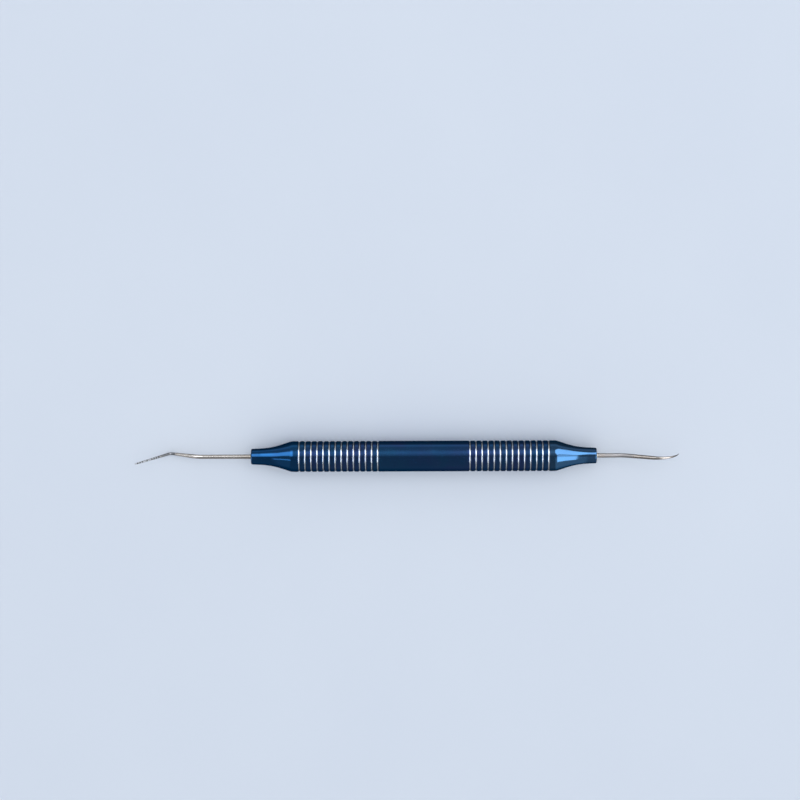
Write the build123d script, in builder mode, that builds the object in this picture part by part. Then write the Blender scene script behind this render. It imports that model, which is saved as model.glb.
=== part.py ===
from build123d import *
import os
from math import cos, degrees, radians, sin

# A double-ended dental explorer, in millimetres: a hollow ringed handle with a graduated probe
# at -X and a hooked explorer at +X. The handle lies along X with its middle at the origin, and
# both working ends are bent in the XZ plane, so the instrument is the same on either side of it.

# ---- handle tube -------------------------------------------------------------------------
handle_diameter = 9.5
tube_wall = 0.8
plain_length = 28.5  # smooth middle, between the two innermost ring grooves
ring_count = 14  # ring grooves in each grip zone
ring_pitch = 1.87
groove_floor_width = 0.4
groove_mouth_width = 0.75
groove_depth = 0.25

# ---- noses, the turned ends of the handle -------------------------------------------------
collar_length = 2.4  # straight part between the outermost groove and the shoulder
cone_length = 12.5  # from the shoulder to the end face
flare_setback = 6.2  # where the flare's two slopes would meet, back from the end face
flare_diameter = 5.34  # the nose's diameter there, if the flare were a sharp corner
nose_end_diameter = 4.8
shoulder_radius = 4.0
flare_radius = 24.0
nose_edge_radius = 0.4
spigot_length = 9.0
spigot_wall = 1.0
spigot_chamfer = 0.4

# ---- bushes that hold the thin shanks in the noses ---------------------------------------
bush_diameter = 3.2
bush_length = 9.8
bush_recess = 0.15  # the bush's face lies this far inside the nose's end face
bush_chamfer = 0.2
web_thickness = 2.5  # of the nose, between the bush's seat and the spigot's bore
vent_diameter = 2.0  # drilled through that web
fillet_reach = 0.42  # braze fillet, out over the bush and up along the shank

# ---- shanks and working ends ---------------------------------------------------------------
shank_diameter = 1.35
shank_root = 1.2  # length past the nose that keeps the full diameter
tail_length = 9.0  # brazed length inside the bush

probe_bend_at = 16.6  # first bend, past the nose's end face
probe_bend_angle = 24.3  # down, away from the handle's axis
probe_bend_run = 9.5  # from the first bend to the knee
probe_bend_radius = 8.0
probe_knee_radius = 1.2
probe_rise_angle = 49.3  # of the working end, up from the handle's axis
probe_length = 15.4  # working end, from the knee's corner to the very tip
probe_bend_diameter = 1.25
probe_knee_diameter = 0.8
probe_tip_diameter = 0.45
mark_distances = [1, 2, 3, 5, 7, 8, 9, 10]  # from the very tip
mark_width = 0.5
mark_depth = 0.06

explorer_bend_at = 8.5
explorer_rise_angle = 17.9  # of the upper shank, up from the handle's axis
explorer_bend_radius = 10.0
explorer_run = 9.3  # from the bend to the start of the hook
explorer_bend_diameter = 1.28
explorer_hook_diameter = 1.12  # where the hook starts
explorer_tip_diameter = 0.12
hook_radius = 6.5
hook_sweep = 93.0  # degrees of arc, from the upper shank to the point
hook_stations = 14  # round sections that the hook's taper is lofted through

# ---- fits ---------------------------------------------------------------------------------
press_clearance = 0.005  # on the radius, spigot in tube and bush in nose
braze_clearance = 0.02  # on the radius, shank in bush

# ---- sizes that follow ---------------------------------------------------------------------
handle_radius = handle_diameter / 2
bore_radius = handle_radius - tube_wall
spigot_radius = bore_radius - press_clearance
bush_radius = bush_diameter / 2
bush_seat_radius = bush_radius + press_clearance
shank_radius = shank_diameter / 2
ring_centres = [plain_length / 2 + i * ring_pitch for i in range(ring_count)]
seam_x = ring_centres[-1]  # tube and nose meet in the middle of the outermost groove
shoulder_x = seam_x + collar_length
nose_end_x = shoulder_x + cone_length
bush_face_x = nose_end_x - bush_recess
bush_seat_x = bush_face_x - bush_length
spigot_end_x = seam_x - spigot_length
spigot_bore_depth = bush_seat_x - web_thickness - spigot_end_x
CENTRED_UP = (Align.CENTER, Align.CENTER, Align.MIN)


def groove_section(centres):
    """Cross-sections of ring grooves at these places along X, to be cut by turning about X."""
    half_floor, half_mouth = groove_floor_width / 2, groove_mouth_width / 2
    with BuildSketch(Plane.XZ) as section:
        with Locations([(x, handle_radius) for x in centres]):
            Polygon(
                (-half_mouth, 0),
                (-half_floor, -groove_depth),
                (half_floor, -groove_depth),
                (half_mouth, 0),
                align=None,
            )
    return section.sketch


# ---- handle_tube: drawn tube with a ringed grip zone at each side of its smooth middle -----
tube_grooves = groove_section([side * x for x in ring_centres for side in (-1, 1)])
with BuildPart() as handle_tube:
    with BuildSketch(Plane.XZ):
        with Locations((0, bore_radius + tube_wall / 2)):
            Rectangle(2 * seam_x, tube_wall)
    revolve(axis=Axis.X)
    revolve(tube_grooves, axis=Axis.X, mode=Mode.SUBTRACT)

# ---- noses: turned cones whose spigots are pressed into the tube ----------------------------
seam_groove = groove_section([seam_x])
with BuildPart() as explorer_nose:
    with BuildSketch(Plane.XZ):
        with BuildLine():
            outside = FilletPolyline(
                (seam_x, handle_radius),
                (shoulder_x, handle_radius),
                (nose_end_x - flare_setback, flare_diameter / 2),
                (nose_end_x, nose_end_diameter / 2),
                radius=[shoulder_radius, flare_radius],
            )
            Polyline(
                outside @ 1,
                (nose_end_x, 0),
                (spigot_end_x, 0),
                (spigot_end_x, spigot_radius),
                (seam_x, spigot_radius),
                outside @ 0,
            )
        make_face()
    revolve(axis=Axis.X)
    revolve(seam_groove, axis=Axis.X, mode=Mode.SUBTRACT)
    end_rim = explorer_nose.faces().sort_by(Axis.X)[-1].edges()
    fillet(end_rim, radius=nose_edge_radius)
    spigot_rim = explorer_nose.faces().sort_by(Axis.X)[0].edges()
    chamfer(spigot_rim, length=spigot_chamfer)
    with Locations(Plane(origin=(nose_end_x, 0, 0), z_dir=(1, 0, 0))):
        CounterBoreHole(
            radius=vent_diameter / 2,
            counter_bore_radius=bush_seat_radius,
            counter_bore_depth=nose_end_x - bush_seat_x,
        )
    with Locations(Plane(origin=(spigot_end_x, 0, 0), z_dir=(-1, 0, 0))):
        Hole(radius=spigot_radius - spigot_wall, depth=spigot_bore_depth)

with BuildPart() as probe_nose:
    mirror(explorer_nose.part, about=Plane.YZ)

# ---- bushes: turned sleeves that bring the nose's bore down to the shank --------------------
with BuildPart() as explorer_bush:
    with BuildSketch(Plane.YZ.offset(bush_face_x)):
        Circle(bush_radius)
        Circle(shank_radius + braze_clearance, mode=Mode.SUBTRACT)
    extrude(amount=-bush_length)
    outer_rims = explorer_bush.edges().filter_by(GeomType.CIRCLE).group_by(SortBy.RADIUS)[-1]
    chamfer(outer_rims, length=bush_chamfer)

with BuildPart() as probe_bush:
    mirror(explorer_bush.part, about=Plane.YZ)

# ---- braze fillets: the filler that shows where each shank leaves its bush -------------------
with BuildPart() as explorer_braze_fillet:
    with BuildSketch(Plane.XZ):
        with BuildLine():
            foot = (bush_face_x, shank_radius + fillet_reach)
            top = (bush_face_x + fillet_reach, shank_radius)
            RadiusArc(foot, top, -fillet_reach)
            Polyline(top, (bush_face_x, shank_radius), foot)
        make_face()
    revolve(axis=Axis.X)

with BuildPart() as probe_braze_fillet:
    mirror(explorer_braze_fillet.part, about=Plane.YZ)


def ground_wire(tail, route, radii):
    """A wire ground to taper along its route: a cone on each straight run and a plain round bend
    on each arc, after a full-size tail that leads to the route's start. radii has the wire's radius
    at both ends of each edge of the route, in its order."""
    edges = route.order_edges()
    with BuildPart() as wire:
        tail_run = edges[0] @ 0 - tail
        with Locations(Plane(origin=tail, x_dir=(0, 1, 0), z_dir=tail_run)):
            Cylinder(shank_radius, tail_run.length, align=CENTRED_UP)
        for edge, (start_radius, end_radius) in zip(edges, radii, strict=True):
            start = Plane(origin=edge @ 0, x_dir=(0, 1, 0), z_dir=edge % 0)
            if edge.geom_type == GeomType.LINE and start_radius == end_radius:
                with Locations(start):
                    Cylinder(start_radius, edge.length, align=CENTRED_UP)
            elif edge.geom_type == GeomType.LINE:
                with Locations(start):
                    Cone(start_radius, end_radius, edge.length, align=CENTRED_UP)
            else:
                with BuildSketch(start):
                    Circle(start_radius)
                arm = edge @ 0 - edge.arc_center
                turning = Axis(edge.arc_center, arm.cross(edge % 0))
                revolve(axis=turning, revolution_arc=degrees(edge.length / edge.radius))
    return wire.part


# ---- probe_insert: shank with a knee and a straight graduated working end --------------------
bend = Vector(-(nose_end_x + probe_bend_at), 0, 0)
knee = bend + Vector(-cos(radians(probe_bend_angle)), 0, -sin(radians(probe_bend_angle))) * (
    probe_bend_run
)
outward = Vector(-cos(radians(probe_rise_angle)), 0, sin(radians(probe_rise_angle)))
probe_tip = knee + outward * probe_length
probe_tip_radius = probe_tip_diameter / 2
probe_tail = Vector(-(bush_face_x - tail_length), 0, 0)
probe_root = Vector(-(nose_end_x + shank_root), 0, 0)
with BuildLine() as probe_route:
    FilletPolyline(
        probe_root,
        bend,
        knee,
        probe_tip - outward * probe_tip_radius,
        radius=[probe_bend_radius, probe_knee_radius],
    )
probe_wire = probe_route.wire()
taper_length = probe_wire.order_edges()[-1].length
upper_radius = probe_bend_diameter / 2
knee_radius = probe_knee_diameter / 2
taper_slope = (knee_radius - probe_tip_radius) / taper_length


def working_radius(distance):
    """The probe's radius this far from its very tip, behind the round end."""
    return probe_tip_radius + taper_slope * (distance - probe_tip_radius)


def mark_section(lift):
    """Cross-sections of the depth marks beside the working end's axis, which runs from the tip
    towards the knee. lift raises the outer side above the probe's surface."""
    along = Plane(origin=probe_tip, x_dir=-outward, z_dir=(0, 1, 0))
    with BuildSketch(along) as section:
        for distance in mark_distances:
            near, far = distance - mark_width / 2, distance + mark_width / 2
            Polygon(
                (near, working_radius(near) - mark_depth),
                (far, working_radius(far) - mark_depth),
                (far, working_radius(far) + lift),
                (near, working_radius(near) + lift),
                align=None,
            )
    return section.sketch


working_axis = Axis(probe_tip, -outward)
probe_shank = ground_wire(
    probe_tail,
    probe_wire,
    [
        (shank_radius, upper_radius),
        (upper_radius, upper_radius),
        (upper_radius, knee_radius),
        (knee_radius, knee_radius),
        (knee_radius, probe_tip_radius),
    ],
)
ring_cuts = mark_section(mark_depth)
with BuildPart() as probe_insert:
    add(probe_shank)
    with Locations(probe_tip - outward * probe_tip_radius):
        Sphere(probe_tip_radius)
    revolve(ring_cuts, axis=working_axis, mode=Mode.SUBTRACT)

# ---- probe_depth_marks: black enamel that fills the ground rings of the probe ------------------
ring_fillings = mark_section(0)
with BuildPart() as probe_depth_marks:
    revolve(ring_fillings, axis=working_axis)

# ---- explorer_insert: shank that rises a little and turns into a fine round hook ---------------
explorer_bend = Vector(nose_end_x + explorer_bend_at, 0, 0)
rise = Vector(cos(radians(explorer_rise_angle)), 0, sin(radians(explorer_rise_angle)))
hook_start = explorer_bend + rise * explorer_run
explorer_tail = Vector(bush_face_x - tail_length, 0, 0)
explorer_root = Vector(nose_end_x + shank_root, 0, 0)
with BuildLine() as explorer_route:
    FilletPolyline(explorer_root, explorer_bend, hook_start, radius=explorer_bend_radius)
below_rise = Vector(rise.Z, 0, -rise.X)
hook_centre = hook_start + below_rise * hook_radius


def hook_station(share):
    """The plane across the hook at this share of its sweep, with its Z along the wire."""
    turned = radians(share * hook_sweep)
    heading = rise * cos(turned) + below_rise * sin(turned)
    inward = below_rise * cos(turned) - rise * sin(turned)
    return Plane(hook_centre - inward * hook_radius, x_dir=(0, 1, 0), z_dir=heading)


bent_radius = explorer_bend_diameter / 2
hook_root_radius = explorer_hook_diameter / 2
point_radius = explorer_tip_diameter / 2
explorer_shank = ground_wire(
    explorer_tail,
    explorer_route.wire(),
    [
        (shank_radius, bent_radius),
        (bent_radius, bent_radius),
        (bent_radius, hook_root_radius),
    ],
)
with BuildPart() as explorer_insert:
    add(explorer_shank)
    for i in range(hook_stations + 1):
        share = i / hook_stations
        with BuildSketch(hook_station(share)):
            Circle(hook_root_radius + (point_radius - hook_root_radius) * share)
    loft()
    with Locations(hook_station(1)):
        Sphere(point_radius)

# ---- the finished pieces ------------------------------------------------------------------------
pieces = {
    "handle_tube": handle_tube,
    "probe_nose": probe_nose,
    "explorer_nose": explorer_nose,
    "probe_bush": probe_bush,
    "explorer_bush": explorer_bush,
    "probe_braze_fillet": probe_braze_fillet,
    "explorer_braze_fillet": explorer_braze_fillet,
    "probe_insert": probe_insert,
    "explorer_insert": explorer_insert,
    "probe_depth_marks": probe_depth_marks,
}
os.makedirs("parts", exist_ok=True)
for name, piece in pieces.items():
    piece.part.label = name
    export_step(piece.part, f"parts/{name}.step")
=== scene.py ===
from math import ceil, cos, pi, radians, sin, tan

import bpy
from mathutils import Matrix, Vector


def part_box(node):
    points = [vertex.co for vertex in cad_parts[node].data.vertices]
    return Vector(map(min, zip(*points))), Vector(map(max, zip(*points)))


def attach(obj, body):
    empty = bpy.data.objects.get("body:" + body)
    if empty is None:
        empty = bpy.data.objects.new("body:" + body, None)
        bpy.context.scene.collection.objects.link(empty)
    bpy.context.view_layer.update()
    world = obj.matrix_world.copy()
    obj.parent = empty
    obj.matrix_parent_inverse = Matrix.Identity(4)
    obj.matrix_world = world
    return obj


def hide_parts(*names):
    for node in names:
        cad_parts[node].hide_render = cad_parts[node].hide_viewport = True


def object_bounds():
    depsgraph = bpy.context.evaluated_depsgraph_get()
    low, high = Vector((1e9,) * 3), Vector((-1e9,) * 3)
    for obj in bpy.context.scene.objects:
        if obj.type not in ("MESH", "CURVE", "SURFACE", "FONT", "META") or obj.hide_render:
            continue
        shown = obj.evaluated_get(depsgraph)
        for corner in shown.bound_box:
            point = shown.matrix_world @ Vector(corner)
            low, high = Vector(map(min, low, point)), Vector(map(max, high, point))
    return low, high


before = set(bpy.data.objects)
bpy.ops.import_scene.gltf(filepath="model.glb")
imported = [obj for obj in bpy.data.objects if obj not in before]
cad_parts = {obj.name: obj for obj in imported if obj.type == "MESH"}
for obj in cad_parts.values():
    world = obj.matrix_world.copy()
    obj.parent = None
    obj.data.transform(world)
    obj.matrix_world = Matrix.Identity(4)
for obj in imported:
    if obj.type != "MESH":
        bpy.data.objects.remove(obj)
cad_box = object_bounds()

# ---- Handle tube ---------------------------------------------------------------------------------
# A drawn stainless tube, 9.5 mm across, polished and given a blue hard coat. Fourteen rings are
# then turned into each grip zone, through the coat, so that bare steel shines in their floors.
mm = 0.001
tube_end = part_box("handle_tube")[1].x
barrel_radius = 4.75 * mm
tube_wall = 0.8 * mm
ring_count = 14
ring_pitch = 1.87 * mm
ring_floor = 0.4 * mm
ring_mouth = 0.75 * mm
ring_depth = 0.25 * mm
tool_nose = 0.37 * mm
edge_break = 0.05 * mm
barrel_segments = 144
corner_steps = 3
merge_distance = 0.0002 * mm
crease_angle = radians(38)


def named(sockets, name):
    """The socket in use that has this name, identifier or number."""
    if isinstance(name, int):
        return sockets[name]
    return next(s for s in sockets if s.enabled and name in (s.name, s.identifier))


class Flow:
    """What comes out of a socket, for use in sums. An operator on it adds a Math node, or a
    Vector Math node where either side is a vector. Its node's other outputs go by name."""

    def __init__(self, nodes, socket):
        self.nodes, self.socket = nodes, socket

    def __getitem__(self, name):
        return Flow(self.nodes, named(self.socket.node.outputs, name))

    def is_vector(self):
        return self.socket.type in ("VECTOR", "RGBA")

    def math(self, operation, *others):
        values = dict(enumerate((self, *others)))
        return self.nodes.add("ShaderNodeMath", values, operation=operation)

    def join(self, operation, left, right):
        sides = (left, right)
        vectors = [v for v in sides if isinstance(v, tuple) or isinstance(v, Flow) and v.is_vector()]
        if not vectors:
            return self.nodes.add("ShaderNodeMath", {0: left, 1: right}, operation=operation)
        if operation == "MULTIPLY" and len(vectors) == 1:
            length = right if vectors[0] is left else left
            return self.nodes.add(
                "ShaderNodeVectorMath", {0: vectors[0], "Scale": length}, operation="SCALE"
            )
        return self.nodes.add("ShaderNodeVectorMath", {0: left, 1: right}, operation=operation)

    def __add__(self, other):
        return self.join("ADD", self, other)

    def __radd__(self, other):
        return self.join("ADD", other, self)

    def __sub__(self, other):
        return self.join("SUBTRACT", self, other)

    def __rsub__(self, other):
        return self.join("SUBTRACT", other, self)

    def __mul__(self, other):
        return self.join("MULTIPLY", self, other)

    def __rmul__(self, other):
        return self.join("MULTIPLY", other, self)

    def __truediv__(self, other):
        return self.join("DIVIDE", self, other)

    def __mod__(self, other):
        return self.math("MODULO", other)

    def __lt__(self, other):
        return self.math("LESS_THAN", other)

    def __gt__(self, other):
        return self.math("GREATER_THAN", other)

    def __abs__(self):
        return self.math("ABSOLUTE")

    def clamped(self):
        return self.math("MINIMUM", 1.0).math("MAXIMUM", 0.0)

    def length(self):
        return self.nodes.add("ShaderNodeVectorMath", {0: self}, operation="LENGTH")["Value"]

    def step(self, low, high):
        """0 below low, 1 above high, and a smooth rise between."""
        return self.nodes.add(
            "ShaderNodeMapRange",
            {"Value": self, "From Min": low, "From Max": high},
            interpolation_type="SMOOTHSTEP",
        )

    def between(self, low, full, fading, gone):
        """1 from full to fading, 0 below low and above gone, and smooth slopes between."""
        return self.step(low, full) * (1.0 - self.step(fading, gone))


class Nodes:
    """Lays nodes into one material's, world's or Geometry Nodes tree."""

    def __init__(self, tree):
        self.tree = tree

    def add(self, kind, inputs=None, **settings):
        """One node: its settings first, then the value or link of each socket. It gives the node's
        first output in use."""
        made = self.tree.nodes.new(kind)
        for name, value in settings.items():
            if name == "stops":
                ramp = made.color_ramp
                while len(ramp.elements) < len(value):
                    ramp.elements.new(1.0)
                for element, (position, colour) in zip(ramp.elements, value):
                    element.position, element.color = position, (*colour, 1.0)
            else:
                setattr(made, name, value)
        for name, value in (inputs or {}).items():
            socket = named(made.inputs, name)
            for link in value if isinstance(value, list) else [value]:
                if isinstance(link, Flow):
                    self.tree.links.new(link.socket, socket)
                else:
                    socket.default_value = link
        return Flow(self, next((s for s in made.outputs if s.enabled), None))

    def vector(self, x=0.0, y=0.0, z=0.0):
        return self.add("ShaderNodeCombineXYZ", {"X": x, "Y": y, "Z": z})

    def mix(self, share, low, high):
        """A colour between two others."""
        colours = [(*c, 1.0) if isinstance(c, tuple) else c for c in (low, high)]
        return self.add(
            "ShaderNodeMix",
            {"Factor_Float": share, "A_Color": colours[0], "B_Color": colours[1]},
            data_type="RGBA",
        )


def geometry_tree(name, sizes):
    """A Geometry Nodes tree with a named input for each size."""
    tree = bpy.data.node_groups.new(name, "GeometryNodeTree")
    tree.interface.new_socket("Geometry", in_out="OUTPUT", socket_type="NodeSocketGeometry")
    for label, kind in {"Geometry": "Geometry", **sizes}.items():
        tree.interface.new_socket(label, in_out="INPUT", socket_type=f"NodeSocket{kind}")
    nodes = Nodes(tree)
    return nodes, nodes.add("NodeGroupInput")


def finished_tree(nodes, geometry, material):
    """The end of every tree: real geometry with its material on it."""
    real = nodes.add("GeometryNodeRealizeInstances", {"Geometry": geometry})
    clad = nodes.add("GeometryNodeSetMaterial", {"Geometry": real, "Material": material})
    nodes.add("NodeGroupOutput", {"Geometry": clad})
    return nodes.tree


def turned_solid_tree():
    """Turns an outline into a solid. Each point of the outline circles its own centre, at a right
    angle to the XZ plane, so that a straight piece and a bent wire are made alike. The attribute
    that is to be carried over for the material is named."""
    nodes, size = geometry_tree(
        "Turned Solid",
        {"Segments": "Int", "Closed Outline": "Int", "Carried": "String", "Material": "Material"},
    )
    outline = size["Geometry"]
    stations = nodes.add("GeometryNodeAttributeDomainSize", {"Geometry": outline}, component="MESH")
    columns = size["Segments"] + 1
    sheet = nodes.add(
        "GeometryNodeMeshGrid",
        {"Vertices X": stations + size["Closed Outline"], "Vertices Y": columns},
    )
    index = nodes.add("GeometryNodeInputIndex")
    row = (index / columns).math("FLOOR")
    turn = (index - row * columns) / size["Segments"] * (2 * pi)

    def at_station(value, kind):
        return nodes.add(
            "GeometryNodeSampleIndex",
            {"Geometry": outline, "Value": value, "Index": row % stations},
            data_type=kind,
            domain="POINT",
        )

    def attribute(name, kind):
        return nodes.add("GeometryNodeInputNamedAttribute", {"Name": name}, data_type=kind)

    centre = at_station(attribute("centre", "FLOAT_VECTOR"), "FLOAT_VECTOR")
    arm = at_station(nodes.add("GeometryNodeInputPosition"), "FLOAT_VECTOR") - centre
    sideways = nodes.vector(y=arm.length() * turn.math("SINE"))
    wrapped = nodes.add(
        "GeometryNodeSetPosition",
        {"Geometry": sheet, "Position": centre + arm * turn.math("COSINE") + sideways},
    )
    carried = at_station(attribute(size["Carried"], "FLOAT"), "FLOAT")
    marked = nodes.add(
        "GeometryNodeStoreNamedAttribute",
        {"Geometry": wrapped, "Name": size["Carried"], "Value": carried},
        data_type="FLOAT",
        domain="POINT",
    )
    closed = nodes.add(
        "GeometryNodeMergeByDistance", {"Geometry": marked, "Distance": merge_distance}
    )
    smooth = nodes.add("GeometryNodeSetShadeSmooth", {"Geometry": closed}, domain="FACE")
    fold = nodes.add("GeometryNodeInputMeshEdgeAngle")
    creased = nodes.add(
        "GeometryNodeSetShadeSmooth",
        {"Geometry": smooth, "Selection": fold > crease_angle, "Shade Smooth": False},
        domain="EDGE",
    )
    return finished_tree(nodes, creased, size["Material"])


turned_solid = turned_solid_tree()


def ringed_tube_tree():
    """Adds the grip rings to a plain tube's outline, rounds its corners and turns it. A ring has
    four corners, the lower two as round as the tool's nose, and a point beyond each upper one that
    keeps the land beside it flat in shading."""
    nodes, size = geometry_tree(
        "Ringed Tube",
        {
            "Tube End": "Float",
            "Tube Radius": "Float",
            "Tube Wall": "Float",
            "Ring Count": "Int",
            "Ring Pitch": "Float",
            "Ring Floor": "Float",
            "Ring Mouth": "Float",
            "Ring Depth": "Float",
            "Tool Nose": "Float",
            "Edge Break": "Float",
            "Segments": "Int",
            "Material": "Material",
        },
    )
    corner = nodes.add("GeometryNodeInputIndex") - 2.5
    is_floor = abs(corner) < 1.0
    width = size["Ring Mouth"] + (size["Ring Floor"] - size["Ring Mouth"]) * is_floor
    guard = size["Edge Break"] * (abs(corner) > 2.0)
    x_in_groove = ((corner > 0.0) * 2.0 - 1.0) * (width / 2.0 + guard)
    place = nodes.vector(x=x_in_groove, z=size["Tube Radius"] - size["Ring Depth"] * is_floor)
    six_points = nodes.add("GeometryNodeMeshLine", {"Count": 6})
    groove = nodes.add("GeometryNodeSetPosition", {"Geometry": six_points, "Position": place})
    zones = []
    for direction in (-1.0, 1.0):
        pitch = size["Ring Pitch"] * direction
        line = nodes.add(
            "GeometryNodeMeshLine",
            {
                "Count": size["Ring Count"],
                "Start Location": nodes.vector(x=size["Tube End"] * direction),
                "Offset": nodes.vector(x=pitch * -1.0),
            },
        )
        zones.append(nodes.add("GeometryNodeInstanceOnPoints", {"Points": line, "Instance": groove}))
    both_zones = nodes.add("GeometryNodeJoinGeometry", {"Geometry": zones})
    rings = nodes.add("GeometryNodeRealizeInstances", {"Geometry": both_zones})
    position = nodes.add("ShaderNodeSeparateXYZ", {"Vector": nodes.add("GeometryNodeInputPosition")})
    x, z = position["X"], position["Z"]
    kept = nodes.add(
        "GeometryNodeDeleteGeometry",
        {"Geometry": rings, "Selection": abs(x) > size["Tube End"]},
        domain="POINT",
    )
    corners = nodes.add("GeometryNodeJoinGeometry", {"Geometry": [size["Geometry"], kept]})
    outside = z > size["Tube Radius"] - (size["Tube Wall"] + size["Ring Depth"]) / 2.0
    # The loop runs along the outside towards +X, and only then back along the bore.
    order = x * outside + (1.0 - x) * (1.0 - outside)
    loose = nodes.add("GeometryNodeMeshToPoints", {"Mesh": corners})
    loop = nodes.add("GeometryNodePointsToCurves", {"Points": loose, "Weight": order})
    closed = nodes.add("GeometryNodeSetSplineCyclic", {"Geometry": loop, "Cyclic": True})
    cut = ((size["Tube Radius"] - z) / size["Ring Depth"]).clamped()
    in_ring = cut * (abs(x) < size["Tube End"])
    roundness = size["Edge Break"] + (size["Tool Nose"] - size["Edge Break"]) * in_ring
    rounded = nodes.add(
        "GeometryNodeFilletCurve",
        {"Curve": closed, "Count": corner_steps, "Radius": roundness, "Limit Radius": True},
        mode="POLY",
    )
    outline = nodes.add("GeometryNodeCurveToMesh", {"Curve": rounded})
    centred = nodes.add(
        "GeometryNodeStoreNamedAttribute",
        {"Geometry": outline, "Name": "centre", "Value": nodes.vector(x=x)},
        data_type="FLOAT_VECTOR",
        domain="POINT",
    )
    marked = nodes.add(
        "GeometryNodeStoreNamedAttribute",
        {"Geometry": centred, "Name": "bare", "Value": cut},
        data_type="FLOAT",
        domain="POINT",
    )
    turned = nodes.add(
        "GeometryNodeGroup",
        {
            "Geometry": marked,
            "Segments": size["Segments"],
            "Closed Outline": 1,
            "Carried": "bare",
            "Material": size["Material"],
        },
        node_tree=turned_solid,
    )
    return finished_tree(nodes, turned, size["Material"])


def outline_mesh(points, centres=None, **values):
    """The points (x, z) of an outline, in order, as a mesh. Each is turned about its centre, which
    is on the X axis unless it is given. Values for the material are given by name, one a point."""
    mesh = bpy.data.meshes.new("outline")
    mesh.from_pydata([(x, 0.0, z) for x, z in points], [], [])
    hubs = mesh.attributes.new("centre", "FLOAT_VECTOR", "POINT")
    for hub, (x, z) in zip(hubs.data, centres or [(x, 0.0) for x, z in points]):
        hub.vector = (x, 0.0, z)
    for name, numbers in values.items():
        mesh.attributes.new(name, "FLOAT", "POINT").data.foreach_set("value", numbers)
    return mesh


def made_by(tree, name, mesh, sizes):
    """An object that a Geometry Nodes tree makes from a mesh, kept as a plain mesh."""
    piece = bpy.data.objects.new(name, mesh)
    bpy.context.scene.collection.objects.link(piece)
    modifier = piece.modifiers.new(tree.name, "NODES")
    modifier.node_group = tree
    for socket in tree.interface.items_tree:
        if socket.in_out == "INPUT" and socket.name in sizes:
            modifier[socket.identifier] = sizes[socket.name]
    depsgraph = bpy.context.evaluated_depsgraph_get()
    solid = bpy.data.meshes.new_from_object(piece.evaluated_get(depsgraph), depsgraph=depsgraph)
    piece.modifiers.clear()
    piece.data = solid
    solid.name = name
    return piece


def material_nodes(name):
    """A new material, its nodes and the object's own coordinates."""
    material = bpy.data.materials.new(name)
    material.use_nodes = True
    material.node_tree.nodes.clear()
    nodes = Nodes(material.node_tree)
    return material, nodes, nodes.add("ShaderNodeTexCoord")["Object"]


def noise(nodes, place, scale, detail=2.0):
    """Noise of this many waves to the metre, about 0.3 to 0.7."""
    return nodes.add("ShaderNodeTexNoise", {"Vector": place, "Scale": scale, "Detail": detail})["Fac"]


def surface(nodes, **sockets):
    """The material's one shader. Its sockets are named with _ for a space."""
    values = {name.replace("_", " "): value for name, value in sockets.items()}
    shader = nodes.add("ShaderNodeBsdfPrincipled", values)
    nodes.add("ShaderNodeOutputMaterial", {"Surface": shader})


def bumped(nodes, height, depth):
    """A surface raised by height, 0 to 1, times a depth in metres."""
    return nodes.add("ShaderNodeBump", {"Height": height, "Distance": depth, "Strength": 1.0})


def blue_coat(name, deep, light, purple):
    """Polished steel under a blue hard coat, with faint turning lines, smudges and a drift of
    purple, and bare turned steel where a ring is cut through it."""
    material, nodes, place = material_nodes(name)
    bare = nodes.add("ShaderNodeAttribute", attribute_name="bare")["Fac"]
    ragged = noise(nodes, place, 2600.0)
    steel = (bare + (ragged - 0.5) * 0.12).step(0.80, 0.88)
    drift = noise(nodes, place, 110.0).step(0.42, 0.72)
    patch = noise(nodes, place + (0.3, 0.1, 0.2), 150.0, 3.0).step(0.4, 0.7)
    blue = nodes.mix(patch * 0.6, deep, light)
    oxide = nodes.mix(drift * 0.6, blue, purple)
    metal = nodes.mix(ragged * 0.6, (0.40, 0.43, 0.46), (0.50, 0.53, 0.56))
    lines = noise(nodes, place * (9000.0, 90.0, 90.0), 1.0, 3.0)
    smudge = noise(nodes, place * (1.0, 1.4, 1.4), 260.0, 4.0).step(0.5, 0.72)
    coat_roughness = 0.09 + lines * 0.05 + smudge * 0.06
    steel_roughness = 0.22 + lines * 0.12
    surface(
        nodes,
        Base_Color=nodes.mix(steel, oxide, metal),
        Metallic=1.0,
        Specular_Tint=(0.35, 0.45, 0.60, 1.0),
        Roughness=coat_roughness + (steel_roughness - coat_roughness) * steel,
        Normal=bumped(nodes, lines, 0.0006 * mm),
    )
    return material


tube_coat = blue_coat(
    "tube_coat",
    deep=(0.020, 0.072, 0.195),
    light=(0.018, 0.090, 0.205),
    purple=(0.040, 0.060, 0.200),
)
ring_floor_radius = barrel_radius - ring_depth
tube_bore = barrel_radius - tube_wall
plain_tube = outline_mesh(
    [
        (-tube_end, ring_floor_radius),
        (tube_end, ring_floor_radius),
        (tube_end, tube_bore),
        (-tube_end, tube_bore),
    ]
)
handle_tube = made_by(
    ringed_tube_tree(),
    "ringed_handle_tube",
    plain_tube,
    {
        "Tube End": tube_end,
        "Tube Radius": barrel_radius,
        "Tube Wall": tube_wall,
        "Ring Count": ring_count,
        "Ring Pitch": ring_pitch,
        "Ring Floor": ring_floor,
        "Ring Mouth": ring_mouth,
        "Ring Depth": ring_depth,
        "Tool Nose": tool_nose,
        "Edge Break": edge_break,
        "Segments": barrel_segments,
        "Material": tube_coat,
    },
)
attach(handle_tube, "root")
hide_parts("handle_tube")

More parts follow.
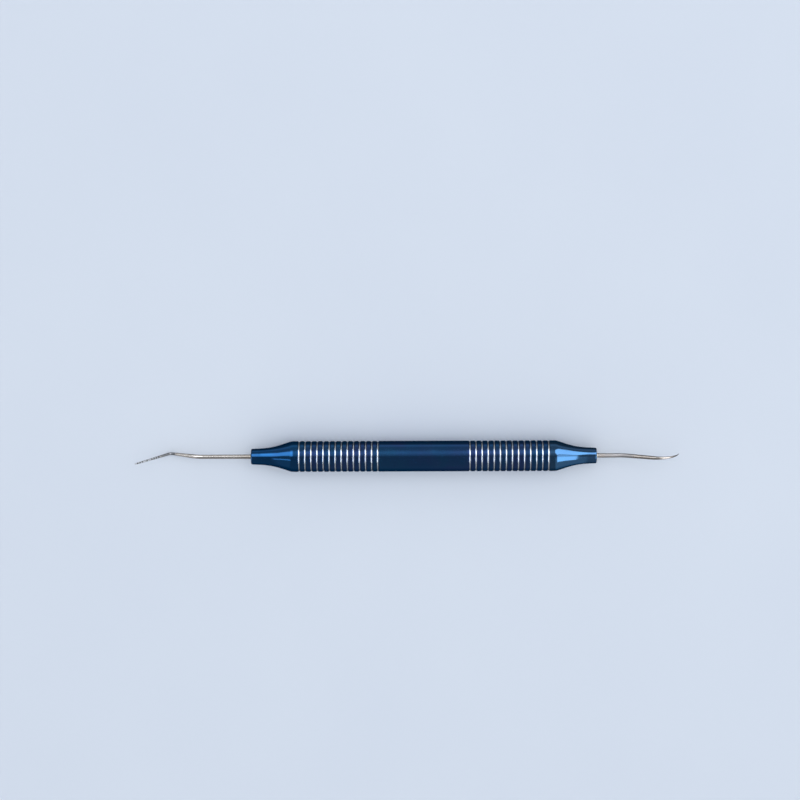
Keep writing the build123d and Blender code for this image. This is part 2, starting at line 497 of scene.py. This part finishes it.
# ---- Noses ---------------------------------------------------------------------------------------
# The handle's two ends, turned from bar: a short collar, a round shoulder and a hollow flare that
# runs out to a small end face. A spigot is pressed into the tube. The explorer's nose is a little
# paler and the probe's a little deeper than the tube. This is painted highlight: each takes the
# colour that the bright window gives the one end and the dimmer window the other.
nose_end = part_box("explorer_nose")[1].x
spigot_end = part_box("explorer_nose")[0].x
shoulder_at = tube_end + 2.4 * mm
shoulder_round = 4.0 * mm
flare_at = nose_end - 6.2 * mm
flare_radius = 2.67 * mm
flare_round = 24.0 * mm
end_radius = 2.4 * mm
end_round = 0.4 * mm
bush_radius = 1.6 * mm
bush_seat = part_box("explorer_bush")[0].x
web = 2.5 * mm
vent_radius = 1.0 * mm
spigot_wall = 1.0 * mm
spigot_chamfer = 0.4 * mm
inner_break = 0.06 * mm
press_gap = 0.005 * mm
arc_step = radians(3)
arc_guard = 0.08 * mm
small_arc_steps = 4


def rounded(corners):
    """The points of an open outline whose corners (x, z, radius) are rounded with arcs. A point a
    little before and after each arc keeps the straight beside it straight in shading."""
    points = [corners[0][:2]]
    for before, (x, z, radius), after in zip(corners, corners[1:], corners[2:]):
        corner = Vector((x, z))
        back = (Vector(before[:2]) - corner).normalized()
        ahead = (Vector(after[:2]) - corner).normalized()
        half_turn = (pi - back.angle(ahead)) / 2
        if radius == 0.0:
            points.append((x, z))
            continue
        centre = corner + (back + ahead).normalized() * radius / cos(half_turn)
        start = corner + back * radius * tan(half_turn) - centre
        turn = half_turn if back.cross(start) > 0 else -half_turn
        steps = ceil(2 * half_turn / arc_step) if radius > tool_nose else small_arc_steps
        arc = []
        for i in range(steps + 1):
            swung = start.copy()
            swung.rotate(Matrix.Rotation(2 * turn * i / steps, 2))
            arc.append(centre + swung)
        points += [tuple(p) for p in (arc[0] + back * arc_guard, *arc, arc[-1] + ahead * arc_guard)]
    points.append(corners[-1][:2])
    return points


def nose_outline():
    """The explorer nose's closed outline, from the tube's end outwards and back inside."""
    spigot_radius = tube_bore - press_gap
    spigot_bore = spigot_radius - spigot_wall
    seat_radius = bush_radius + press_gap
    return rounded(
        [
            (tube_end, ring_floor_radius, 0.0),
            (tube_end + ring_floor / 2, ring_floor_radius, tool_nose),
            (tube_end + ring_mouth / 2, barrel_radius, edge_break),
            (shoulder_at, barrel_radius, shoulder_round),
            (flare_at, flare_radius, flare_round),
            (nose_end, end_radius, end_round),
            (nose_end, seat_radius, inner_break),
            (bush_seat, seat_radius, 0.0),
            (bush_seat, vent_radius, inner_break),
            (bush_seat - web, vent_radius, inner_break),
            (bush_seat - web, spigot_bore, 0.0),
            (spigot_end, spigot_bore, inner_break),
            (spigot_end, spigot_radius - spigot_chamfer, 0.0),
            (spigot_end + spigot_chamfer, spigot_radius, 0.0),
            (tube_end, spigot_radius, 0.0),
        ]
    )


def nose_bareness(x, z):
    """1 where the nose has no coat: in the ring beside the tube, and inside."""
    if x < tube_end or z < bush_radius + 2 * edge_break:
        return 1.0
    in_ring = x < tube_end + ring_mouth / 2 + edge_break
    return min(1.0, (barrel_radius - z) / ring_depth) if in_ring else 0.0


explorer_outline = nose_outline()
# Painted highlight: two copies of the tube's coat, paler for the brightly lit nose and deeper for the
# dimly lit one.
nose_coat_paled_by_highlight = blue_coat(
    "nose_coat_paled_by_highlight",
    deep=(0.034, 0.092, 0.190),
    light=(0.037, 0.108, 0.210),
    purple=(0.045, 0.088, 0.200),
)
nose_coat_deep_for_dim_window = blue_coat(
    "nose_coat_deep_for_dim_window",
    deep=(0.012, 0.072, 0.200),
    light=(0.016, 0.088, 0.215),
    purple=(0.026, 0.062, 0.205),
)
for side, end, coat in ((1, "explorer", nose_coat_paled_by_highlight), (-1, "probe", nose_coat_deep_for_dim_window)):
    shares = [nose_bareness(x, z) for x, z in explorer_outline][::side]
    points = [(x * side, z) for x, z in explorer_outline][::side]
    nose = made_by(
        turned_solid,
        f"{end}_end_nose",
        outline_mesh(points, bare=shares),
        {"Segments": barrel_segments, "Closed Outline": 1, "Carried": "bare", "Material": coat},
    )
    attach(nose, "root")
    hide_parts(f"{end}_nose")

# ---- Bushes --------------------------------------------------------------------------------------
# Brass sleeves, turned and parted off, that bring each nose's bore down to the thin shank. Only
# the face shows, a little inside the nose's end.
bush_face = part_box("explorer_bush")[1].x
shank_radius = 0.675 * mm
braze_gap = 0.02 * mm
bush_break = 0.2 * mm
bush_segments = 96


def turned_brass():
    """Brass with fine facing rings, a little dull from the brazing heat near the shank."""
    material, nodes, place = material_nodes("turned_brass")
    radius = (place * (0.0, 1.0, 1.0)).length()
    rings = noise(nodes, nodes.vector(x=radius * 22000.0, y=place.length() * 40.0), 1.0)
    heat = noise(nodes, place, 1400.0, 3.0).step(0.35, 0.7)
    surface(
        nodes,
        Base_Color=nodes.mix(heat * 0.7, (0.72, 0.56, 0.24), (0.46, 0.30, 0.13)),
        Metallic=1.0,
        Roughness=0.26 + rings * 0.12 + heat * 0.14,
        Normal=bumped(nodes, rings, 0.002 * mm),
    )
    return material


brass = turned_brass()
bore = shank_radius + braze_gap
points = [
    (bush_seat, bush_radius - bush_break),
    (bush_seat + bush_break, bush_radius),
    (bush_face - bush_break, bush_radius),
    (bush_face, bush_radius - bush_break),
    (bush_face, bore),
    (bush_seat, bore),
]
for side, end in ((1, "explorer"), (-1, "probe")):
    bush = made_by(
        turned_solid,
        f"{end}_end_bush",
        outline_mesh([(x * side, z) for x, z in points][::side]),
        {"Segments": bush_segments, "Closed Outline": 1, "Carried": "bare", "Material": brass},
    )
    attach(bush, "root")
    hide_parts(f"{end}_bush")

# ---- Probe insert --------------------------------------------------------------------------------
# One ground wire: a straight shank, a slight bend, a tight knee and a straight working end that
# tapers to a round tip. Eight narrow rings are ground into it for the depth marks. The dark grey
# round the knee is painted shade, and the marked end is satin, so that the marks can be read.
shank_root = 1.2 * mm
tail_length = 9.0 * mm
probe_bend_at = 16.6 * mm
probe_bend_angle = radians(24.3)
probe_bend_run = 9.5 * mm
probe_bend_round = 8.0 * mm
probe_knee_round = 1.2 * mm
probe_rise_angle = radians(49.3)
probe_length = 15.4 * mm
upper_radius = 0.625 * mm
knee_radius = 0.4 * mm
probe_tip_radius = 0.225 * mm
mark_distances = [d * mm for d in (1, 2, 3, 5, 7, 8, 9, 10)]
mark_width = 0.5 * mm
mark_depth = 0.06 * mm
# How far before and after the knee its painted shade reaches.
knee_painted_shade = (2.5 * mm, 3.0 * mm)
satin_after_knee = 4.2 * mm
satin_rise = 1.0 * mm
satin_fade = 3.0 * mm
heat_wander = 2.0 * mm
heat_reach = 6.0 * mm
wire_segments = 48
tip_steps = 6


def wire_outline(start_x, heading, runs, point_radius):
    """The outline of a round wire that starts on the handle's axis, the middle of the wire beside
    each point, and how far along it that is. Each run has its length, the angle that it turns
    through and the radius at its end, and the last one ends in a round point."""
    middle, radius, gone = Vector((start_x, 0.0)), runs[0][2], 0.0
    stations = [(middle, heading, 0.0, gone), (middle, heading, radius, gone)]
    for length, turn, end_radius in runs:
        steps = ceil(abs(turn) / arc_step)
        shares = [(i + 1) / steps for i in range(steps)] or [1.0]
        if not turn and length > 4 * arc_guard:
            shares = [arc_guard / length, 1.0 - arc_guard / length, 1.0]
        done = 0.0
        for share in shares:
            part = share - done
            ahead = heading + turn * part / 2
            middle = middle + Vector((cos(ahead), sin(ahead))) * length * part
            heading += turn * part
            gone += length * part
            done = share
            stations.append((middle, heading, radius + (end_radius - radius) * share, gone))
        radius = end_radius
    for i in range(tip_steps):
        lift = pi / 2 * (i + 1) / tip_steps
        reach = point_radius * sin(lift)
        tip = middle + Vector((cos(heading), sin(heading))) * reach
        stations.append((tip, heading, point_radius * cos(lift), gone + reach))
    points = [(m.x - sin(h) * r, m.y + cos(h) * r) for m, h, r, gone in stations]
    middles = [tuple(station[0]) for station in stations]
    return points, middles, [station[-1] for station in stations]


def ground_steel(name, light, dark, roughness, satin_and_shade_stretches):
    """Ground stainless wire between a light and a dark shade, with fine lines along it, finer ones
    around it, a straw and brown tint where the brazing heat ran out of the nose, and stretches
    with a satin finish, where it isn't to dazzle. Each has a tone, a start and an end; the dark
    grey tone at the probe's knee is painted shade."""
    material, nodes, place = material_nodes(name)
    along = nodes.add("ShaderNodeAttribute", attribute_name="along")["Fac"]
    lengthwise = noise(nodes, place * (260.0, 9000.0, 9000.0), 1.0, 3.0)
    around = noise(nodes, nodes.vector(x=along * 16000.0), 1.0, 3.0)
    cloud = noise(nodes, place, 420.0, 3.0).step(0.35, 0.7)
    heated = 1.0 - (along - hidden_run + cloud * heat_wander).step(0.0, heat_reach)
    clean = nodes.mix(cloud * 0.6 + lengthwise * 0.4, light, dark)
    satin = 0.0
    for tone, start, end in satin_and_shade_stretches:
        stretch = along.between(start, start + satin_rise, end, end + satin_fade)
        clean = nodes.mix(stretch * (1.0 - lengthwise * 0.3), clean, tone)
        satin = satin + stretch * (1.0 - satin)
    surface(
        nodes,
        Base_Color=nodes.mix(heated * 0.35, clean, (0.34, 0.26, 0.18)),
        Metallic=1.0,
        Roughness=roughness + lengthwise * 0.07 + cloud * 0.05 + satin * 0.22,
        Normal=bumped(nodes, lengthwise * 0.6 + around * 0.4, 0.0003 * mm),
    )
    return material


knee_angle = probe_bend_angle + probe_rise_angle
bend_setback = probe_bend_round * tan(probe_bend_angle / 2)
knee_setback = probe_knee_round * tan(knee_angle / 2)
taper_length = probe_length - knee_setback - probe_tip_radius
taper_slope = (knee_radius - probe_tip_radius) / taper_length
hidden_run = nose_end - bush_face + tail_length
tail_run = hidden_run + shank_root
knee_at = hidden_run + probe_bend_at + probe_bend_run
probe_steel = ground_steel(
    "ground_steel",
    light=(0.68, 0.66, 0.65),
    dark=(0.50, 0.48, 0.47),
    roughness=0.13,
    satin_and_shade_stretches=[
        # Painted shade: a dark grey tone round the knee.
        ((0.10, 0.115, 0.14), knee_at - knee_painted_shade[0], knee_at + knee_painted_shade[1]),
        ((0.44, 0.48, 0.54), knee_at + satin_after_knee, knee_at + probe_length),
    ],
)


def working_radius(distance):
    """The probe's radius this far from its very tip, behind the round end."""
    return probe_tip_radius + taper_slope * (distance - probe_tip_radius)


probe_runs = [
    (tail_run, 0.0, shank_radius),
    (probe_bend_at - shank_root - bend_setback, 0.0, upper_radius),
    (probe_bend_round * probe_bend_angle, probe_bend_angle, upper_radius),
    (probe_bend_run - bend_setback - knee_setback, 0.0, knee_radius),
    (probe_knee_round * knee_angle, -knee_angle, knee_radius),
]
here = taper_length + probe_tip_radius
for distance in reversed(mark_distances):
    far, near = distance + mark_width / 2, distance - mark_width / 2
    probe_runs += [
        (here - far, 0.0, working_radius(far)),
        (0.0, 0.0, working_radius(far) - mark_depth),
        (mark_width, 0.0, working_radius(near) - mark_depth),
        (0.0, 0.0, working_radius(near)),
    ]
    here = near
probe_runs.append((here - probe_tip_radius, 0.0, probe_tip_radius))
points, centres, along = wire_outline(tail_length - bush_face, pi, probe_runs, probe_tip_radius)
tip_x, tip_z = centres[-1]
probe_insert = made_by(
    turned_solid,
    "graduated_probe",
    outline_mesh(points, centres, along=along),
    {"Segments": wire_segments, "Closed Outline": 0, "Carried": "along", "Material": probe_steel},
)
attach(probe_insert, "root")
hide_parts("probe_insert")

# ---- Explorer insert -----------------------------------------------------------------------------
# The other ground wire: a shank that rises a little from the nose, then tapers round an open hook
# to a very fine point. It is hardened for its springy point. Its steel is coloured darker than the
# probe's as painted shade, standing in for the dim surroundings that it reflects.
explorer_bend_at = 8.5 * mm
explorer_rise_angle = radians(17.9)
explorer_bend_round = 10.0 * mm
explorer_run = 9.3 * mm
bent_radius = 0.64 * mm
hook_root_radius = 0.56 * mm
explorer_point_radius = 0.06 * mm
hook_round = 6.5 * mm
hook_sweep = radians(93)

# Painted shade: the probe's steel coloured much darker, the satin shank as well.
explorer_wire_painted_dark = ground_steel(
    "dark_painted_wire_steel",
    light=(0.34, 0.32, 0.31),
    dark=(0.24, 0.22, 0.21),
    roughness=0.20,
    satin_and_shade_stretches=[((0.31, 0.31, 0.33), 0.0, tail_run + explorer_bend_at)],
)
rise_setback = explorer_bend_round * tan(explorer_rise_angle / 2)
points, centres, along = wire_outline(
    bush_face - tail_length,
    0.0,
    [
        (tail_run, 0.0, shank_radius),
        (explorer_bend_at - shank_root - rise_setback, 0.0, bent_radius),
        (explorer_bend_round * explorer_rise_angle, explorer_rise_angle, bent_radius),
        (explorer_run - rise_setback, 0.0, hook_root_radius),
        (hook_round * hook_sweep, -hook_sweep, explorer_point_radius),
    ],
    explorer_point_radius,
)
explorer_insert = made_by(
    turned_solid,
    "hooked_explorer",
    outline_mesh(points, centres, along=along),
    {"Segments": wire_segments, "Closed Outline": 0, "Carried": "along", "Material": explorer_wire_painted_dark},
)
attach(explorer_insert, "root")
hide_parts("explorer_insert")

# ---- Braze fillets -------------------------------------------------------------------------------
# Silver filler that drew into the gap between shank and bush and left a small hollow fillet where
# the shank comes out. It is duller than the steel, and a little uneven.
fillet_reach = 0.42 * mm
bite = 0.01 * mm
fillet_steps = 10
fillet_segments = 64


def silver_filler():
    """Dull silver filler, rippled as it froze, with a yellow tint of old flux in places."""
    material, nodes, place = material_nodes("silver_filler")
    ripple = noise(nodes, place, 3200.0, 3.0)
    flux = noise(nodes, place, 1500.0).step(0.45, 0.65)
    surface(
        nodes,
        Base_Color=nodes.mix(flux * 0.6, (0.36, 0.34, 0.28), (0.28, 0.22, 0.12)),
        Metallic=1.0,
        Roughness=0.30 + ripple * 0.2,
        Normal=bumped(nodes, ripple, 0.02 * mm),
    )
    return material


filler = silver_filler()
rim = fillet_reach + shank_radius
points = [(bush_face - bite, rim)]
for i in range(fillet_steps + 1):
    swing = pi / 2 * i / fillet_steps
    points.append((bush_face + fillet_reach * (1 - cos(swing)), rim - fillet_reach * sin(swing)))
points += [(bush_face + fillet_reach, shank_radius - bite), (bush_face - bite, shank_radius - bite)]
for side, end in ((1, "explorer"), (-1, "probe")):
    braze = made_by(
        turned_solid,
        f"{end}_end_braze",
        outline_mesh([(x * side, z) for x, z in points][::side]),
        {"Segments": fillet_segments, "Closed Outline": 1, "Carried": "bare", "Material": filler},
    )
    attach(braze, "root")
    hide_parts(f"{end}_braze_fillet")

# ---- Depth marks ---------------------------------------------------------------------------------
# Black enamel rubbed into the eight ground rings of the probe and stoved, so that each stands a
# hair below the steel. They lie 1, 2, 3, 5, 7, 8, 9 and 10 mm from the tip.
enamel_sink = 0.006 * mm
enamel_crown = 0.25


def black_enamel():
    """Black enamel, semi-gloss, with a little steel dust that is left in its pores."""
    material, nodes, place = material_nodes("black_enamel")
    grain = noise(nodes, place, 5200.0, 3.0)
    dust = grain.step(0.58, 0.68)
    surface(
        nodes,
        Base_Color=nodes.mix(dust * 0.5, (0.006, 0.006, 0.007), (0.030, 0.029, 0.028)),
        Roughness=0.34 + grain * 0.3,
        Normal=bumped(nodes, grain, 0.004 * mm),
    )
    return material


def depth_marks_tree():
    """One enamel ring at each mark, fitted to the probe's taper and moved to the probe's tip. The
    ring that is repeated runs from 1 to 2 across, from the steel's ring floor to its surface."""
    nodes, size = geometry_tree(
        "Depth Marks",
        {
            "Ring": "Object",
            "Tip Radius": "Float",
            "Taper Slope": "Float",
            "Mark Depth": "Float",
            "Enamel Sink": "Float",
            "Tip": "Vector",
            "Rise Angle": "Float",
            "Material": "Material",
        },
    )
    ring = nodes.add("GeometryNodeObjectInfo", {"Object": size["Ring"]})["Geometry"]
    copies = nodes.add("GeometryNodeInstanceOnPoints", {"Points": size["Geometry"], "Instance": ring})
    rings = nodes.add("GeometryNodeRealizeInstances", {"Geometry": copies})
    place = nodes.add("GeometryNodeInputPosition")
    across = place * (0.0, 1.0, 1.0)
    level = across.length()
    x = nodes.add("ShaderNodeSeparateXYZ", {"Vector": place})["X"]
    surface_radius = size["Tip Radius"] + size["Taper Slope"] * (x - size["Tip Radius"])
    floor_radius = surface_radius - size["Mark Depth"]
    fitted_radius = floor_radius + (level - 1.0) * (size["Mark Depth"] - size["Enamel Sink"])
    fitted = nodes.add(
        "GeometryNodeSetPosition",
        {"Geometry": rings, "Position": nodes.vector(x=x) + across * (fitted_radius / level)},
    )
    at_tip = nodes.add(
        "GeometryNodeTransform",
        {"Geometry": fitted, "Translation": size["Tip"], "Rotation": nodes.vector(y=size["Rise Angle"])},
    )
    return finished_tree(nodes, at_tip, size["Material"])


enamel = black_enamel()
half_mark = mark_width / 2
ring_outline = [
    (-half_mark, 2 - enamel_crown),
    (-half_mark / 2, 2.0),
    (half_mark / 2, 2.0),
    (half_mark, 2 - enamel_crown),
    (half_mark, 1.0),
    (-half_mark, 1.0),
]
ring = made_by(
    turned_solid,
    "one_mark",
    outline_mesh(ring_outline),
    {"Segments": wire_segments, "Closed Outline": 1, "Carried": "bare", "Material": enamel},
)
mark_places = bpy.data.meshes.new("mark_places")
mark_places.from_pydata([(d, 0.0, 0.0) for d in mark_distances], [], [])
depth_marks = made_by(
    depth_marks_tree(),
    "enamel_depth_marks",
    mark_places,
    {
        "Ring": ring,
        "Tip Radius": probe_tip_radius,
        "Taper Slope": taper_slope,
        "Mark Depth": mark_depth,
        "Enamel Sink": enamel_sink,
        "Tip": (tip_x, 0.0, tip_z),
        "Rise Angle": probe_rise_angle,
        "Material": enamel,
    },
)
bpy.data.objects.remove(ring)
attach(depth_marks, "root")
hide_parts("probe_depth_marks")

# ---- Floor, light and camera ---------------------------------------------------------------------
# A plain pale floor in a soft white room. A tall window beyond each end of the handle shows in its
# polished nose, and one broad lamp overhead lays a soft shadow. The camera looks down almost
# squarely, a little from the back.
floor_half = 3.0
floor_z = cad_box[0].z
lamp_place = (0.3, 0.5, 1.4)
lamp_width = 1.2
lamp_power = 6.0
room_light = (0.70, 0.74, 0.80)
backdrop = (0.62, 0.68, 0.78)
right_window_light = 4.5
left_window_light = 2.2
left_glow_light = 0.7
left_strip_light = 2.6
sky_by_lean = [
    (-180, 0.20),
    (-98, 0.25),
    (-86, 0.33),
    (-60, 0.30),
    (12, 0.29),
    (17, 0.36),
    (24, 0.55),
    (31, 0.68),
    (40, 0.82),
    (47, 0.80),
    (58, 0.56),
    (66, 0.48),
    (88, 0.46),
    (95, 0.70),
    (107, 0.74),
    (113, 0.35),
    (124, 0.18),
    (180, 0.20),
]


def pale_floor():
    """A matt, cool white sheet with a faint unevenness."""
    material, nodes, place = material_nodes("pale_floor")
    cloud = noise(nodes, place, 14.0, 3.0)
    surface(
        nodes,
        Base_Color=nodes.mix(cloud, (0.70, 0.75, 0.83), (0.74, 0.79, 0.86)),
        Roughness=0.75,
        Specular_IOR_Level=0.2,
    )
    return material


floor_mesh = bpy.data.meshes.new("floor")
corners = [(x * floor_half, y * floor_half, floor_z) for x, y in ((-1, -1), (1, -1), (1, 1), (-1, 1))]
floor_mesh.from_pydata(corners, [], [(0, 1, 2, 3)])
floor_mesh.materials.append(pale_floor())
floor = bpy.data.objects.new("floor", floor_mesh)
bpy.context.scene.collection.objects.link(floor)
floor.visible_glossy = False

room = bpy.data.worlds.new("room")
room.use_nodes = True
room.cycles.sampling_method = "NONE"
room.node_tree.nodes.clear()
nodes = Nodes(room.node_tree)
# Directions in degrees: lean is from straight up towards +Y, and tilt is towards +X.
way = nodes.add("ShaderNodeSeparateXYZ", {"Vector": nodes.add("ShaderNodeTexCoord")["Generated"]})
lean = way["Y"].math("ARCTAN2", way["Z"]) * (180 / pi)
tilt = way["X"].math("ARCSINE") * (180 / pi)
sky = nodes.add(
    "ShaderNodeValToRGB",
    {"Fac": lean / 360 + 0.5},
    stops=[(0.5 + angle / 360, (level, level, level)) for angle, level in sky_by_lean],
)
# The right window has a slanting near edge and head, a dim glazing bar and a dimmer pane below.
near_edge = 22.0 - lean.step(18, 40) * 17.0
from_head = lean - 50.0 - tilt * 0.7
from_bar = abs(lean - 5.0 - tilt * 0.5)
below_bar = lean.step(2, 9) * (1.0 - (lean - tilt * 0.5).step(4, 8))
right_window = (tilt - near_edge).step(0, 3) * (1.0 - tilt.step(62, 70))
right_window = right_window * lean.step(-41, -36) * (1.0 - from_head.step(0, 6))
right_window = right_window * (0.40 + from_bar.step(1.5, 5) * 0.60) * (1.0 - below_bar * 0.4)
# The left one drops away from the handle. Its near upper part glows, and a narrow strip of light
# lies below it.
left = tilt * -1.0
raised = lean - left.step(25, 50) * 10.0
left_window = left.between(2, 9, 43, 50) * raised.between(15, 21, 52, 60)
left_glow = left.between(7, 10, 24, 30) * lean.between(30, 36, 62, 68)
left_strip = left.between(24, 28, 46, 50) * lean.between(-18, -16, -12, -10)
# On the side away from the camera the room is brighter towards both ends.
low_glow = tilt.step(5, 12) * 0.5 + left.step(20, 30) * 0.12 + left.step(52, 60) * 2.0
low_glow = low_glow * lean.between(-125, -100, 0, 6)
windows = right_window * right_window_light + left_window * left_window_light
windows = windows + left_glow * left_glow_light + left_strip * left_strip_light + low_glow
rays = nodes.add("ShaderNodeLightPath")
glossy_light = sky + nodes.vector(windows, windows, windows)
light = nodes.mix(rays["Is Diffuse Ray"], glossy_light, room_light)
light = nodes.mix(rays["Is Camera Ray"], light, backdrop)
nodes.add("ShaderNodeOutputWorld", {"Surface": nodes.add("ShaderNodeBackground", {"Color": light})})
bpy.context.scene.world = room

overhead = bpy.data.lights.new("overhead", "AREA")
overhead.shape = "RECTANGLE"
overhead.size = lamp_width
overhead.size_y = lamp_width
overhead.energy = lamp_power
lamp = bpy.data.objects.new("overhead", overhead)
lamp.location = lamp_place
lamp.rotation_euler = lamp.location.to_track_quat("Z", "Y").to_euler()
lamp.visible_glossy = False
bpy.context.scene.collection.objects.link(lamp)

view_lean = radians(-15)
view_roll = radians(-0.2)
view_distance = 0.9
view_width = 0.2477
aim_along = -7.38 * mm
aim_across = 17.39 * mm
turned = Matrix.Rotation(view_lean, 3, "X") @ Matrix.Rotation(view_roll, 3, "Z")
aim = Vector((aim_along, 0.0, 0.0)) + turned @ Vector((0.0, aim_across, 0.0))
eye = bpy.data.cameras.new("camera")
eye.sensor_width = 36.0
eye.lens = eye.sensor_width * view_distance / view_width
camera = bpy.data.objects.new("camera", eye)
camera.location = aim + turned @ Vector((0.0, 0.0, view_distance))
camera.rotation_euler = turned.to_euler()
bpy.context.scene.collection.objects.link(camera)
bpy.context.scene.camera = camera
bpy.context.scene.view_settings.view_transform = "Standard"
